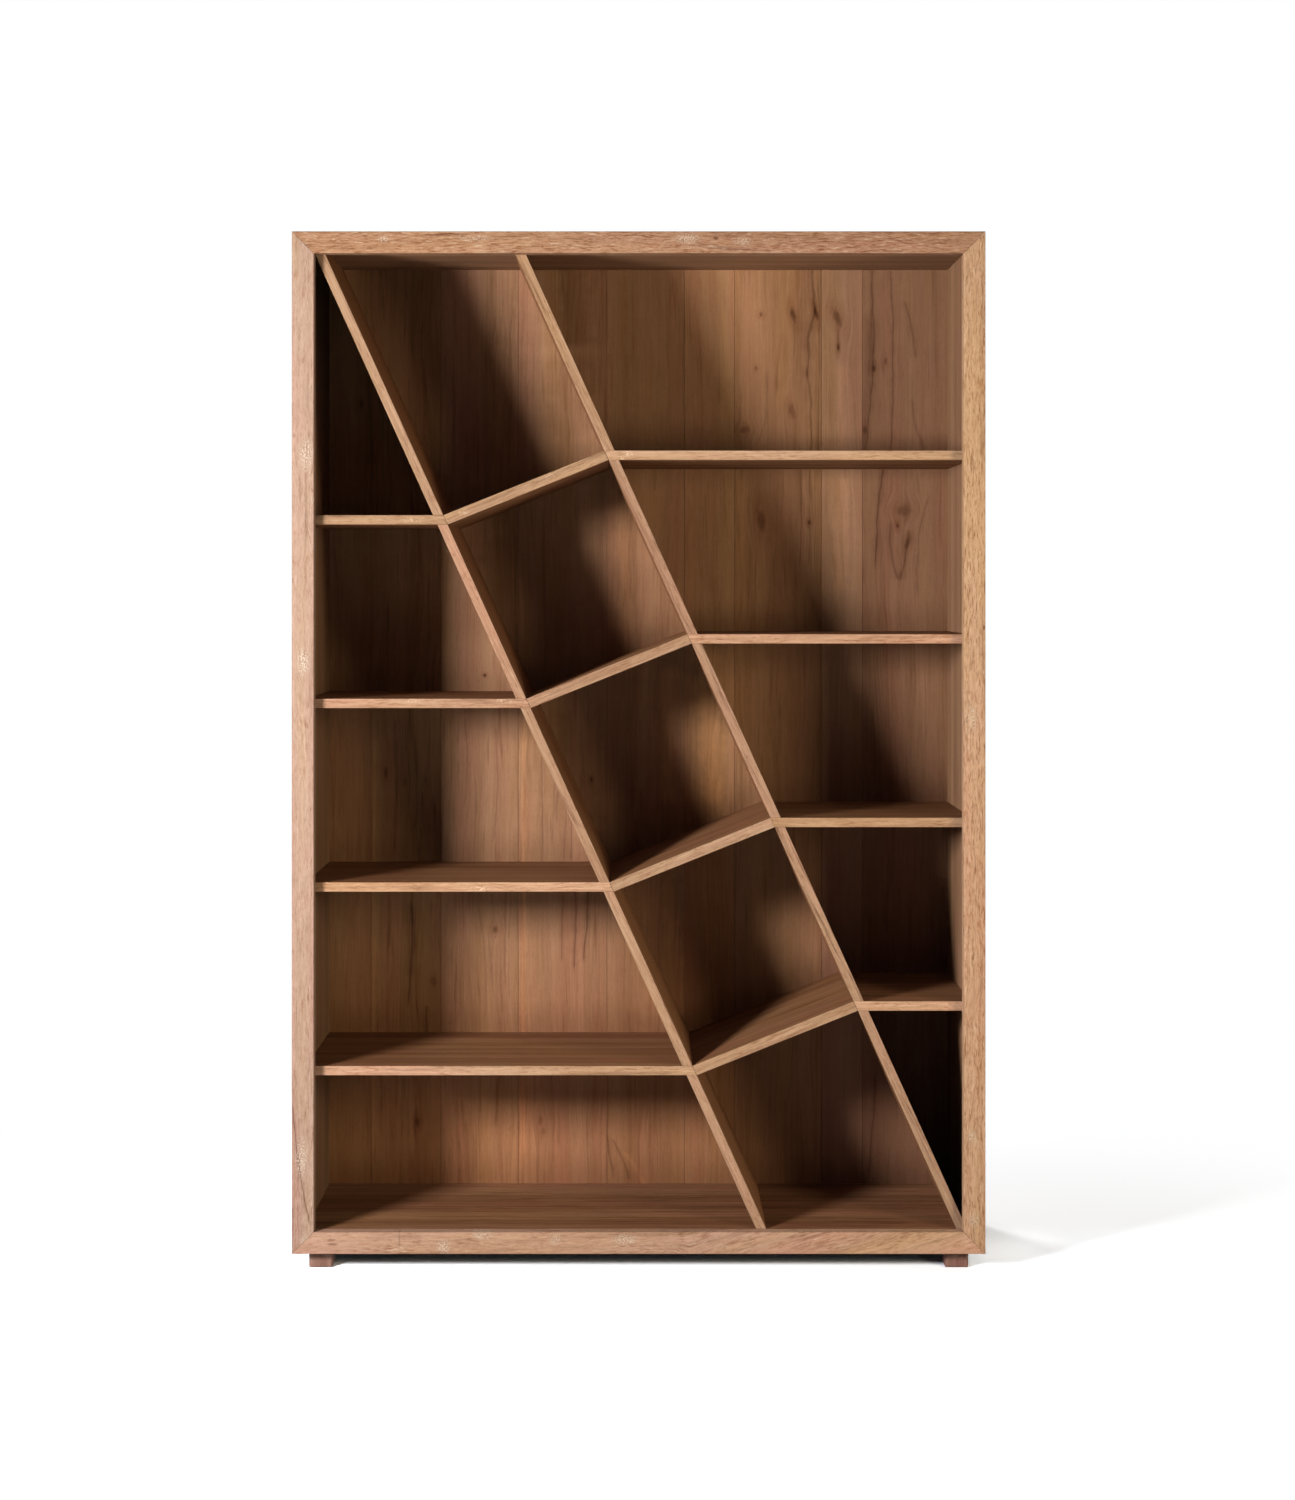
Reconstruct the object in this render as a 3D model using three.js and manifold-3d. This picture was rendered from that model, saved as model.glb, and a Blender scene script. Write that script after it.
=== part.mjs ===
// Zigzag bookshelf in solid teak. A carcass of four boards stands on four block feet behind a
// mitred face frame. Four shelves run level from the left, climb, and run level again to the
// right side. Two leaning dividers, cut into lengths by the shelves, cross the whole height.
// The origin is on the floor under the middle of the carcass: X runs to the right, the open
// front faces -Y and Z points up. Lengths are in millimetres.

import * as THREE from 'three';
import { mergeVertices } from 'three/addons/utils/BufferGeometryUtils.js';
import Module from 'manifold-3d';

const wasm = await Module();
wasm.setup();

// Overall size
const width = 1400;
const depth = 400;
const height = 2100;

// Face frame: four flat strips on the front edges of the carcass
const stripWidth = 44;
const stripThickness = 25;

// Carcass boards, and how far the frame's lower edge stays above the floor
const boardThickness = 25;
const footDrop = 36;
const cornerSplineWidth = 13;
const cornerSplineThickness = 4;

// Shelves: the clear heights over the highest and under the lowest one on the left, with the
// rest spaced evenly between, and how much higher each shelf lies on the right
const shelfCount = 4;
const shelfThickness = 19;
const topBayClear = 547;
const lowBayClear = 311.5;
const zigRise = 131;

// Leaning dividers: how far apart they stand, measured level, and the space left between the
// foot of the right one and the side board
const dividerThickness = 19;
const dividerSpacing = 407;
const dividerFootGap = 9;

// Back: tongued and grooved planks in a rebate, with the joints as shares of its width
const plankThickness = 12;
const rebateWidth = 12;
const plankGap = 0.5;
const tongueLength = 6;
const tongueThickness = 4;
const plankJointShares = [0, 0.075, 0.186, 0.309, 0.45, 0.573, 0.653, 0.791, 0.856, 1];

// Hidden joints: the housings in the sides, the stub tongues on the divider ends and the
// splines in the shelf mitres, which all stop short of the front and back edges
const housingDepth = 7;
const jointStop = 25;
const stubDepthShare = 0.2;
const stubThicknessShare = 0.3;
const splineWidthShare = 0.55;
const splineThicknessShare = 0.16;

// Clearances: a glue line in each mitre, the play round hidden tongues, splines and screws, and
// how far a cutting tool runs past the face that it cuts
const glueLine = 0.3;
const play = 0.3;
const overrun = 3;

// Block feet, set in from the carcass, each held by one screw in a counterbore
const footWidth = 48;
const footInset = 5;
const footCornerRadius = 6;
const footEdgeRadius = 4;
const screwLength = 44;
const screwRadius = 2.5;
const screwHeadRadius = 5.5;
const screwHeadHeight = 3.5;
const screwHeadRoundShare = 0.4;
const screwPointShare = 0.15;
const screwBiteShare = 0.65;

// Places that follow from the sizes above
const outerX = width / 2;
const innerX = outerX - boardThickness;
const openingX = outerX - stripWidth;
const rebateX = innerX + rebateWidth;
const frontY = -depth / 2;
const boardFrontY = frontY + stripThickness;
const backY = depth / 2;
const plankFrontY = backY - plankThickness;
const openingBottom = footDrop + stripWidth;
const openingTop = height - stripWidth;
const floorTop = openingBottom;
const floorUnder = floorTop - boardThickness;
const ceiling = height - boardThickness;
const rebateTop = ceiling + rebateWidth;
const highestShelf = ceiling - topBayClear;
const lowestShelf = floorTop + lowBayClear + shelfThickness;
const shelfPitch = (highestShelf - lowestShelf) / (shelfCount - 1);
const jointFrontY = boardFrontY + jointStop;
const jointBackY = plankFrontY - jointStop;
const mitreGap = glueLine * Math.SQRT2;

// Lean of the dividers. The left one's left face starts in the upper left corner of the frame
// opening, and the right one's right face comes down just inside the right side board. With the
// run and the drop between those two points, this is the angle at which a board fits between.
const leanDrop = openingTop - floorTop;
const leanRun = innerX - dividerFootGap + openingX - dividerSpacing;
const leanAngle = Math.acos(dividerThickness / Math.hypot(leanRun, leanDrop)) - Math.atan2(leanDrop, leanRun);
const lean = Math.tan(leanAngle);
const dividerLevelWidth = dividerThickness / Math.cos(leanAngle);

// Colours of the oiled teak and of the screws
const paleTeak = new THREE.MeshStandardMaterial({ color: 0xd6a985, roughness: 0.55, metalness: 0 });
const shelfTeak = new THREE.MeshStandardMaterial({ color: 0xc99b74, roughness: 0.55, metalness: 0 });
const backTeak = new THREE.MeshStandardMaterial({ color: 0xb0825e, roughness: 0.6, metalness: 0 });
const footTeak = new THREE.MeshStandardMaterial({ color: 0x8a5f4c, roughness: 0.6, metalness: 0 });
const steel = new THREE.MeshStandardMaterial({ color: 0x8d8f92, roughness: 0.35, metalness: 1 });

const bookshelf = new THREE.Group();

// Slots that hidden tongues, splines and screws need, listed by the name of the board they enter
const slots = {};

function point(u, v) {
  return new THREE.Vector2(u, v);
}

// A straight piece: an outline drawn across one axis and carried along it. Outlines are (y, z)
// along x, (x, z) along y and (x, y) along z.
function prism(outline, axis, from, to) {
  const geometry = new THREE.ExtrudeGeometry(new THREE.Shape(outline), { depth: 1, bevelEnabled: false });
  const places = geometry.attributes.position;
  for (let i = 0; i < places.count; i += 1) {
    const u = places.getX(i);
    const v = places.getY(i);
    const ahead = places.getZ(i) > 0 ? to : from;
    const behind = places.getZ(i) > 0 ? from : to;
    if (axis === 'x') places.setXYZ(i, ahead, u, v);
    if (axis === 'y') places.setXYZ(i, u, behind, v);
    if (axis === 'z') places.setXYZ(i, u, v, ahead);
  }
  geometry.computeVertexNormals();
  return geometry;
}

function rectangle(u0, u1, v0, v1) {
  return [point(u0, v0), point(u1, v0), point(u1, v1), point(u0, v1)];
}

function block(x0, x1, y0, y1, z0, z1) {
  return prism(rectangle(x0, x1, y0, y1), 'z', z0, z1);
}

// A thin bar centred on a point, with its length turned by an angle from the level
function bar(centre, angle, length, thickness) {
  const corners = rectangle(-length / 2, length / 2, -thickness / 2, thickness / 2);
  return corners.map((corner) => corner.rotateAround(point(0, 0), angle).add(centre));
}

function circle(x, y, radius) {
  const shape = new THREE.Shape();
  shape.absarc(x, y, radius, 0, Math.PI * 2);
  return shape.getPoints(12);
}

// The solid of a closed mesh, for cutting and joining
function solidOf(geometry) {
  const bare = geometry.clone();
  bare.deleteAttribute('normal');
  bare.deleteAttribute('uv');
  const merged = mergeVertices(bare);
  const vertProperties = new Float32Array(merged.attributes.position.array);
  const triVerts = new Uint32Array(merged.index.array);
  return new wasm.Manifold(new wasm.Mesh({ numProp: 3, vertProperties, triVerts }));
}

// The mesh geometry of a solid, with flat faces
function geometryOf(solid) {
  const { vertProperties, triVerts } = solid.getMesh();
  const indexed = new THREE.BufferGeometry();
  indexed.setAttribute('position', new THREE.BufferAttribute(new Float32Array(vertProperties), 3));
  indexed.setIndex(new THREE.BufferAttribute(new Uint32Array(triVerts), 1));
  const flat = indexed.toNonIndexed();
  flat.computeVertexNormals();
  return flat;
}

function addSlot(name, geometry) {
  slots[name] ??= [];
  slots[name].push(geometry);
}

// Adds a piece to the bookshelf, with the slots that its neighbours asked for cut out
function addPiece(name, geometry, material) {
  let shape = geometry;
  if (slots[name]) {
    const cut = slots[name].reduce((left, slot) => left.subtract(solidOf(slot)), solidOf(geometry));
    shape = geometryOf(cut);
  }
  const mesh = new THREE.Mesh(shape, material);
  mesh.name = name;
  bookshelf.add(mesh);
}

// Heights of the shelves' top faces; row 1 is the highest
function shelfTop(row, side) {
  const left = lowestShelf + (shelfCount - row) * shelfPitch;
  return side === 'left' ? left : left + zigRise;
}

// X of a divider's faces at a height
function dividerLeftFace(side, z) {
  const shift = side === 'left' ? 0 : dividerSpacing;
  return -openingX + shift + (openingTop - z) * lean;
}

function dividerRightFace(side, z) {
  return dividerLeftFace(side, z) + dividerLevelWidth;
}

// Each length of a divider stands between two boards on its level cut ends. A stub tongue on
// each end sits in a stopped slot in the board above or below.
function addDivider(side, number, top, bottom, boardAbove, boardBelow) {
  const outline = [
    point(dividerLeftFace(side, top), top),
    point(dividerRightFace(side, top), top),
    point(dividerRightFace(side, bottom), bottom),
    point(dividerLeftFace(side, bottom), bottom),
  ];
  const stubHalf = (dividerLevelWidth * stubThicknessShare) / 2;
  const stubDepth = shelfThickness * stubDepthShare;
  let solid = solidOf(prism(outline, 'y', boardFrontY, plankFrontY));
  for (const [end, board] of [[top, boardAbove], [bottom, boardBelow]]) {
    const middle = dividerLeftFace(side, end) + dividerLevelWidth / 2;
    const [x0, x1] = [middle - stubHalf, middle + stubHalf];
    const [z0, z1] = [end - stubDepth, end + stubDepth];
    solid = solid.add(solidOf(block(x0, x1, jointFrontY, jointBackY, z0, z1)));
    const slot = rectangle(x0 - play, x1 + play, z0 - play, z1 + play);
    addSlot(board, prism(slot, 'y', jointFrontY - play, jointBackY + play));
  }
  addPiece(`divider_${side}_${number}`, geometryOf(solid), shelfTeak);
}

function addDividers(side) {
  for (let number = 1; number <= shelfCount + 1; number += 1) {
    const topmost = number === 1;
    const lowest = number > shelfCount;
    const top = topmost ? ceiling : shelfTop(number - 1, side) - shelfThickness;
    const bottom = lowest ? floorTop : shelfTop(number, side);
    const boardAbove = topmost ? 'top_board' : `shelf_${number - 1}_${side}`;
    const boardBelow = lowest ? 'bottom_board' : `shelf_${number}_${side}`;
    addDivider(side, number, top, bottom, boardAbove, boardBelow);
  }
}

// A spline lies across a shelf mitre, square to the cut, half in the level board and half in
// the climbing one
function addShelfSpline(row, side, mitreTop, mitreBottom) {
  const centre = mitreTop.clone().add(mitreBottom).divideScalar(2);
  const length = shelfThickness * splineWidthShare;
  const thickness = shelfThickness * splineThicknessShare;
  const shape = bar(centre, leanAngle, length, thickness);
  const slotShape = bar(centre, leanAngle, length + 2 * play, thickness + 2 * play);
  const slot = prism(slotShape, 'y', jointFrontY - play, jointBackY + play);
  addSlot(`shelf_${row}_${side}`, slot);
  addSlot(`shelf_${row}_climb`, slot);
  addPiece(`shelf_${row}_spline_${side}`, prism(shape, 'y', jointFrontY, jointBackY), shelfTeak);
}

// One shelf in three boards. The mitres lie in the planes of the dividers' inner faces, so the
// climbing board comes out a little thicker than the level ones.
function addShelf(row) {
  const leftTop = shelfTop(row, 'left');
  const rightTop = shelfTop(row, 'right');
  const leftUnder = leftTop - shelfThickness;
  const rightUnder = rightTop - shelfThickness;
  const endX = innerX + housingDepth - play;
  const lowMitreTop = point(dividerRightFace('left', leftTop), leftTop);
  const lowMitreBottom = point(dividerRightFace('left', leftUnder), leftUnder);
  const highMitreTop = point(dividerLeftFace('right', rightTop), rightTop);
  const highMitreBottom = point(dividerLeftFace('right', rightUnder), rightUnder);
  addShelfSpline(row, 'left', lowMitreTop, lowMitreBottom);
  addShelfSpline(row, 'right', highMitreTop, highMitreBottom);

  const leftOutline = [point(-endX, leftUnder), lowMitreBottom, lowMitreTop, point(-endX, leftTop)];
  const rightOutline = [highMitreBottom, point(endX, rightUnder), point(endX, rightTop), highMitreTop];
  const glue = highMitreTop.clone().sub(lowMitreTop).setLength(glueLine);
  const climbOutline = [
    lowMitreBottom.clone().add(glue),
    highMitreBottom.clone().sub(glue),
    highMitreTop.clone().sub(glue),
    lowMitreTop.clone().add(glue),
  ];
  addPiece(`shelf_${row}_left`, prism(leftOutline, 'y', boardFrontY, plankFrontY), shelfTeak);
  addPiece(`shelf_${row}_climb`, prism(climbOutline, 'y', boardFrontY, plankFrontY), shelfTeak);
  addPiece(`shelf_${row}_right`, prism(rightOutline, 'y', boardFrontY, plankFrontY), shelfTeak);
}

// Outlines and slots on the right are mirrored for the left; hand is 1 or -1
function mirrored(outline, hand) {
  return outline.map((corner) => point(corner.x * hand, corner.y));
}

// A side board has a housing for every shelf end and for the bottom board, the rebate for the
// back planks, and a mitred upper end
function addSide(side, hand) {
  const name = `side_${side}`;
  const housingX = innerX + housingDepth;
  const housings = [[floorUnder, floorTop]];
  for (let row = 1; row <= shelfCount; row += 1) {
    housings.push([shelfTop(row, side) - shelfThickness, shelfTop(row, side)]);
  }
  for (const [z0, z1] of housings) {
    const housing = mirrored(rectangle(innerX - overrun, housingX, z0, z1), hand);
    addSlot(name, prism(housing, 'y', boardFrontY - overrun, plankFrontY + overrun));
  }
  const rebate = mirrored(rectangle(innerX - overrun, rebateX, plankFrontY, backY + overrun), hand);
  addSlot(name, prism(rebate, 'z', footDrop - overrun, height));
  const outline = [
    point(innerX, footDrop),
    point(outerX, footDrop),
    point(outerX, height - mitreGap),
    point(innerX, ceiling - mitreGap),
  ];
  addPiece(name, prism(mirrored(outline, hand), 'y', boardFrontY, backY), paleTeak);
}

// Splines across the mitres between the sides and the top board
function addCornerSpline(side, hand) {
  const centre = point(((innerX + outerX) / 2) * hand, (ceiling + height) / 2);
  const angle = (-Math.PI / 4) * hand;
  const slotShape = bar(centre, angle, cornerSplineWidth + 2 * play, cornerSplineThickness + 2 * play);
  const slot = prism(slotShape, 'y', jointFrontY - play, jointBackY + play);
  addSlot(`side_${side}`, slot);
  addSlot('top_board', slot);
  const shape = bar(centre, angle, cornerSplineWidth, cornerSplineThickness);
  addPiece(`corner_spline_${side}`, prism(shape, 'y', jointFrontY, jointBackY), shelfTeak);
}

function addTopBoard() {
  const rebate = rectangle(plankFrontY, backY + overrun, ceiling - overrun, rebateTop);
  addSlot('top_board', prism(rebate, 'x', -outerX, outerX));
  const outline = [
    point(-innerX, ceiling),
    point(innerX, ceiling),
    point(outerX, height),
    point(-outerX, height),
  ];
  addPiece('top_board', prism(outline, 'y', boardFrontY, backY), paleTeak);
}

function addBottomBoard() {
  const endX = innerX + housingDepth - play;
  addPiece('bottom_board', block(-endX, endX, boardFrontY, plankFrontY, floorUnder, floorTop), shelfTeak);
}

// The face frame's strips meet in mitres from the outer to the inner corners
function addFrame() {
  for (const [side, hand] of [['left', -1], ['right', 1]]) {
    const stile = [
      point(openingX, openingBottom + mitreGap),
      point(outerX, footDrop + mitreGap),
      point(outerX, height - mitreGap),
      point(openingX, openingTop - mitreGap),
    ];
    addPiece(`frame_stile_${side}`, prism(mirrored(stile, hand), 'y', frontY, boardFrontY), paleTeak);
  }
  const rails = { top: [openingTop, height], bottom: [openingBottom, footDrop] };
  for (const [end, [innerZ, outerZ]] of Object.entries(rails)) {
    const rail = [
      point(-openingX, innerZ),
      point(openingX, innerZ),
      point(outerX, outerZ),
      point(-outerX, outerZ),
    ];
    addPiece(`frame_rail_${end}`, prism(rail, 'y', frontY, boardFrontY), paleTeak);
  }
}

// The back planks stand in the rebates of the sides and the top board and cover the back edge
// of the bottom board. Each has a groove on its left edge and a tongue on its right one, but
// the outer edges of the first and the last are plain.
function addBack() {
  const joints = plankJointShares.map((share) => rebateX * (2 * share - 1));
  const middleY = (plankFrontY + backY) / 2;
  const [tongueY0, tongueY1] = [middleY - tongueThickness / 2, middleY + tongueThickness / 2];
  for (let number = 1; number < joints.length; number += 1) {
    const left = joints[number - 1] + plankGap / 2;
    const right = joints[number] - plankGap / 2;
    const tongueX = right + tongueLength;
    const grooveX = left + tongueLength + play - plankGap;
    const tongue = [
      point(right, tongueY0),
      point(tongueX, tongueY0),
      point(tongueX, tongueY1),
      point(right, tongueY1),
    ];
    const groove = [
      point(left, tongueY1 + play),
      point(grooveX, tongueY1 + play),
      point(grooveX, tongueY0 - play),
      point(left, tongueY0 - play),
    ];
    const outline = [
      point(left, plankFrontY),
      point(right, plankFrontY),
      ...(number < joints.length - 1 ? tongue : []),
      point(right, backY),
      point(left, backY),
      ...(number > 1 ? groove : []),
    ];
    addPiece(`back_plank_${number}`, prism(outline, 'z', floorUnder, rebateTop - plankGap), backTeak);
  }
}

// An upright outline with rounded lower corners, or a plan with all four corners rounded
function roundedOutline(u0, u1, v0, v1, lowerRadius, upperRadius) {
  const quarter = Math.PI / 2;
  const shape = new THREE.Shape();
  shape.absarc(u0 + lowerRadius, v0 + lowerRadius, lowerRadius, 2 * quarter, 3 * quarter);
  shape.absarc(u1 - lowerRadius, v0 + lowerRadius, lowerRadius, 3 * quarter, 4 * quarter);
  if (upperRadius > 0) {
    shape.absarc(u1 - upperRadius, v1 - upperRadius, upperRadius, 0, quarter);
    shape.absarc(u0 + upperRadius, v1 - upperRadius, upperRadius, quarter, 2 * quarter);
  } else {
    shape.lineTo(u1, v1);
    shape.lineTo(u0, v1);
  }
  return shape.getPoints(5);
}

// A foot is a block with rounded upright corners and rounded lower edges. Its screw goes up
// from a counterbore into the bottom board.
function addFoot(place, x0, y0) {
  const [x1, y1] = [x0 + footWidth, y0 + footWidth];
  const [middleX, middleY] = [(x0 + x1) / 2, (y0 + y1) / 2];
  const name = `foot_${place}`;
  const seat = floorUnder - screwLength * (1 - screwBiteShare) - screwHeadHeight;
  const shankHole = circle(middleX, middleY, screwRadius + play);
  const headHole = circle(middleX, middleY, screwHeadRadius + play);
  addSlot(name, prism(headHole, 'z', -overrun, seat + screwHeadHeight));
  addSlot(name, prism(shankHole, 'z', 0, floorUnder + overrun));
  addSlot('bottom_board', prism(shankHole, 'z', floorUnder - overrun, seat + screwLength + play));

  const plan = roundedOutline(x0, x1, y0, y1, footCornerRadius, footCornerRadius);
  const frontView = roundedOutline(x0, x1, 0, floorUnder, footEdgeRadius, 0);
  const sideView = roundedOutline(y0, y1, 0, floorUnder, footEdgeRadius, 0);
  const body = solidOf(prism(plan, 'z', 0, floorUnder))
    .intersect(solidOf(prism(frontView, 'y', y0, y1)))
    .intersect(solidOf(prism(sideView, 'x', x0, x1)));
  addPiece(name, geometryOf(body), footTeak);
  addFootScrew(`foot_screw_${place}`, middleX, middleY, seat);
}

// A round-headed wood screw, point upward
function addFootScrew(name, x, y, seat) {
  const roundOff = screwHeadHeight * screwHeadRoundShare;
  const profile = [
    point(0, 0),
    point(screwHeadRadius - roundOff, 0),
    point(screwHeadRadius, roundOff),
    point(screwHeadRadius, screwHeadHeight),
    point(screwRadius, screwHeadHeight),
    point(screwRadius, screwLength * (1 - screwPointShare)),
    point(0, screwLength),
  ];
  const geometry = new THREE.LatheGeometry(profile, 24);
  geometry.rotateX(Math.PI / 2);
  const mesh = new THREE.Mesh(geometry, steel);
  mesh.name = name;
  mesh.position.set(x, y, seat);
  bookshelf.add(mesh);
}

function addFeet() {
  const leftX = -innerX + footInset;
  const rightX = innerX - footInset - footWidth;
  const nearY = boardFrontY + footInset;
  const farY = plankFrontY - footInset - footWidth;
  addFoot('front_left', leftX, nearY);
  addFoot('front_right', rightX, nearY);
  addFoot('back_left', leftX, farY);
  addFoot('back_right', rightX, farY);
}

// Boards come after everything that asks them for a slot
addDividers('left');
addDividers('right');
for (let row = 1; row <= shelfCount; row += 1) addShelf(row);
addFeet();
addCornerSpline('left', -1);
addCornerSpline('right', 1);
addSide('left', -1);
addSide('right', 1);
addTopBoard();
addBottomBoard();
addFrame();
addBack();

export default bookshelf;
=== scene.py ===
import math
import random

import bmesh
import bpy
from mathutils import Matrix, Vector


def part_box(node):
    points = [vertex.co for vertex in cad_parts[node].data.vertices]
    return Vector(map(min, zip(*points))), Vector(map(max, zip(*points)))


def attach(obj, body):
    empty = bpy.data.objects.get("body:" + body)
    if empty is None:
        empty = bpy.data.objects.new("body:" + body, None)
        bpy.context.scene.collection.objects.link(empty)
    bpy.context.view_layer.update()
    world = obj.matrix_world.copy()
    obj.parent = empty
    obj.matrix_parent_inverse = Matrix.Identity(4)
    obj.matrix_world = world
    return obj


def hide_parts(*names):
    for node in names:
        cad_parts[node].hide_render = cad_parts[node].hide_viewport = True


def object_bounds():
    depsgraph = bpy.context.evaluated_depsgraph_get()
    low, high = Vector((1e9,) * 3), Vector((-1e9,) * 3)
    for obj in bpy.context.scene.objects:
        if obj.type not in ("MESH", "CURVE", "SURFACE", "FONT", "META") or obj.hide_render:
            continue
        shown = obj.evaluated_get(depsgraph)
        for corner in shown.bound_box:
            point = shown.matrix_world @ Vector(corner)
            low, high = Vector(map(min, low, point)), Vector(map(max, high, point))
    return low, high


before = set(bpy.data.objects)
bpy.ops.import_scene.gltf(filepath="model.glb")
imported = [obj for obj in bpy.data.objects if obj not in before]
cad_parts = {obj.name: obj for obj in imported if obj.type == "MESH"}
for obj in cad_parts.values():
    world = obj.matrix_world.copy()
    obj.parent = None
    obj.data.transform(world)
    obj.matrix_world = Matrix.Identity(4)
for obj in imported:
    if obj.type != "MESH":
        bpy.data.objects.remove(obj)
cad_lowest, cad_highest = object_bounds()
scene = bpy.context.scene

# The camera stands straight in front of the bookcase, at the height of a person's
# chin, and looks level. The small shift frames the case as the photograph does.
eye_height = 1.375
eye_distance = 4.90
camera_data = bpy.data.cameras.new("camera")
camera_data.sensor_width = 36
camera_data.lens = 55.9
camera_data.shift_x = 0.0082
camera_data.shift_y = -0.1063
camera = bpy.data.objects.new("camera", camera_data)
camera.location = (-0.007, -eye_distance, eye_height)
camera.rotation_euler = (math.radians(90), 0, 0)
scene.collection.objects.link(camera)
scene.camera = camera
scene.view_settings.view_transform = "Standard"


# The room is a pale floor that runs on into white. Two soft lamps stand in front: the
# key at the left, and a weaker, wider, warmer one at the right, and their light slants
# into the bays. The lamps behind and above light the back, the ends and the top.
def shader_node(tree, kind, plugs=None, **settings):
    """Adds a node; plugs gives an input either a value or the socket that feeds it."""
    made = tree.nodes.new(kind)
    for name, value in settings.items():
        setattr(made, name, value)
    for name, value in (plugs or {}).items():
        if isinstance(value, bpy.types.NodeSocket):
            tree.links.new(value, made.inputs[name])
        else:
            made.inputs[name].default_value = value
    return made


def reckon(tree, operation, *values, clamped=False):
    """A Math node on these values or sockets, and its result."""
    plugs = dict(enumerate(values))
    made = shader_node(tree, "ShaderNodeMath", plugs, operation=operation)
    made.use_clamp = clamped
    return made.outputs[0]


def ramp(tree, value, start, end, low=0.0, high=1.0, way="SMOOTHSTEP"):
    """A step from low at start to high at end, smooth unless another way is named."""
    made = shader_node(
        tree,
        "ShaderNodeMapRange",
        {"Value": value, "From Min": start, "From Max": end, "To Min": low, "To Max": high},
        interpolation_type=way,
    )
    return made.outputs["Result"]


def blended(tree, amount, first, second, way="MIX"):
    """A colour between first and second, or second laid on first in another way."""
    plugs = {0: amount, 6: first, 7: second}
    made = shader_node(tree, "ShaderNodeMix", plugs, data_type="RGBA", blend_type=way)
    return made.outputs[2]


def reckon_vector(tree, operation, *values):
    """A Vector Math node on these values or sockets, and its result."""
    plugs = dict(enumerate(values))
    made = shader_node(tree, "ShaderNodeVectorMath", plugs, operation=operation)
    return made.outputs["Value" if operation == "LENGTH" else "Vector"]


def axes(tree, vector):
    """The X, Y and Z of a vector."""
    return shader_node(tree, "ShaderNodeSeparateXYZ", {0: vector}).outputs


def bare_tree(owner):
    """Empties the node tree of a material or world and returns it."""
    owner.use_nodes = True
    owner.node_tree.nodes.clear()
    return owner.node_tree


def seen_directly(tree):
    """1 for a ray that shows the background: from the camera, a gloss or through glass."""
    path = tree.nodes.new("ShaderNodeLightPath").outputs
    gloss = reckon(tree, "MAXIMUM", path["Is Glossy Ray"], path["Is Transmission Ray"])
    return reckon(tree, "MAXIMUM", path["Is Camera Ray"], gloss)


white = (1, 1, 1, 1)
room_fill = 0.009
room_fill_colour = (0.60, 1.30, 2.7, 1)
world = bpy.data.worlds.new("white room")
scene.world = world
tree = bare_tree(world)
seen = seen_directly(tree)
strength = ramp(tree, seen, 0, 1, room_fill, 1.0)
colour = blended(tree, seen, room_fill_colour, white)
background = shader_node(
    tree, "ShaderNodeBackground", {"Color": colour, "Strength": strength}
)
shader_node(tree, "ShaderNodeOutputWorld", {"Surface": background.outputs[0]})

# To the camera the floor is white in front of the case and shaded behind it and at its right.
# In the gap under the case the floor is given a darker, bluer white: painted shade, whose
# colour also makes up for the teak's warm light.
floor_reach = 9.0
floor_grey = (0.5, 0.5, 0.5, 1)
front_white = (2.5, 2.6, 2.75, 1)
right_white = (1.75, 1.80, 1.88, 1)
back_white = (1.45, 1.47, 1.50, 1)
under_case_shade_white = (0.85, 1.25, 1.55, 1)
floor_mesh = bpy.data.meshes.new("floor")
shape = bmesh.new()
bmesh.ops.create_grid(shape, x_segments=1, y_segments=1, size=floor_reach)
shape.to_mesh(floor_mesh)
shape.free()
floor = bpy.data.objects.new("floor", floor_mesh)
scene.collection.objects.link(floor)
paint = bpy.data.materials.new("pale floor")
floor_mesh.materials.append(paint)
tree = bare_tree(paint)
place = tree.nodes.new("ShaderNodeTexCoord").outputs["Object"]
far_off = ramp(tree, reckon_vector(tree, "LENGTH", place), 1.0, 1.9)
seen = seen_directly(tree)
spot = axes(tree, place)
seen_white = blended(tree, ramp(tree, spot["X"], 0.78, 0.93), front_white, right_white)
seen_white = blended(tree, ramp(tree, spot["Y"], -0.09, 0.19), seen_white, back_white)
# Painted shade under the case, in the gap between the feet.
under_case_shade = ramp(tree, reckon(tree, "ABSOLUTE", spot["X"]), 0.69, 0.66)
for outer, inner in ((-0.14, -0.10), (0.03, 0.00)):
    under_case_shade = reckon(tree, "MULTIPLY", under_case_shade, ramp(tree, spot["Y"], outer, inner))
seen_white = blended(tree, under_case_shade, seen_white, under_case_shade_white)
seen_colour = blended(tree, seen, floor_grey, seen_white)
matt = shader_node(tree, "ShaderNodeBsdfDiffuse", {"Color": seen_colour})
glow = shader_node(tree, "ShaderNodeEmission", {"Color": white, "Strength": 1.0})
white_share = reckon(tree, "MULTIPLY", far_off, seen)
surface = shader_node(
    tree, "ShaderNodeMixShader", {0: white_share, 1: matt.outputs[0], 2: glow.outputs[0]}
)
shader_node(tree, "ShaderNodeOutputMaterial", {"Surface": surface.outputs[0]})


def lamp(name, place, aim, wide, tall, watts, colour=(1, 1, 1)):
    """A soft rectangular lamp at place that faces aim."""
    light = bpy.data.lights.new(name, "AREA")
    light.shape = "RECTANGLE"
    light.size = wide
    light.size_y = tall
    light.energy = watts
    light.color = colour
    made = bpy.data.objects.new(name, light)
    made.location = place
    facing = Vector(aim) - Vector(place)
    made.rotation_euler = facing.to_track_quat("-Z", "Y").to_euler()
    scene.collection.objects.link(made)


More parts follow.
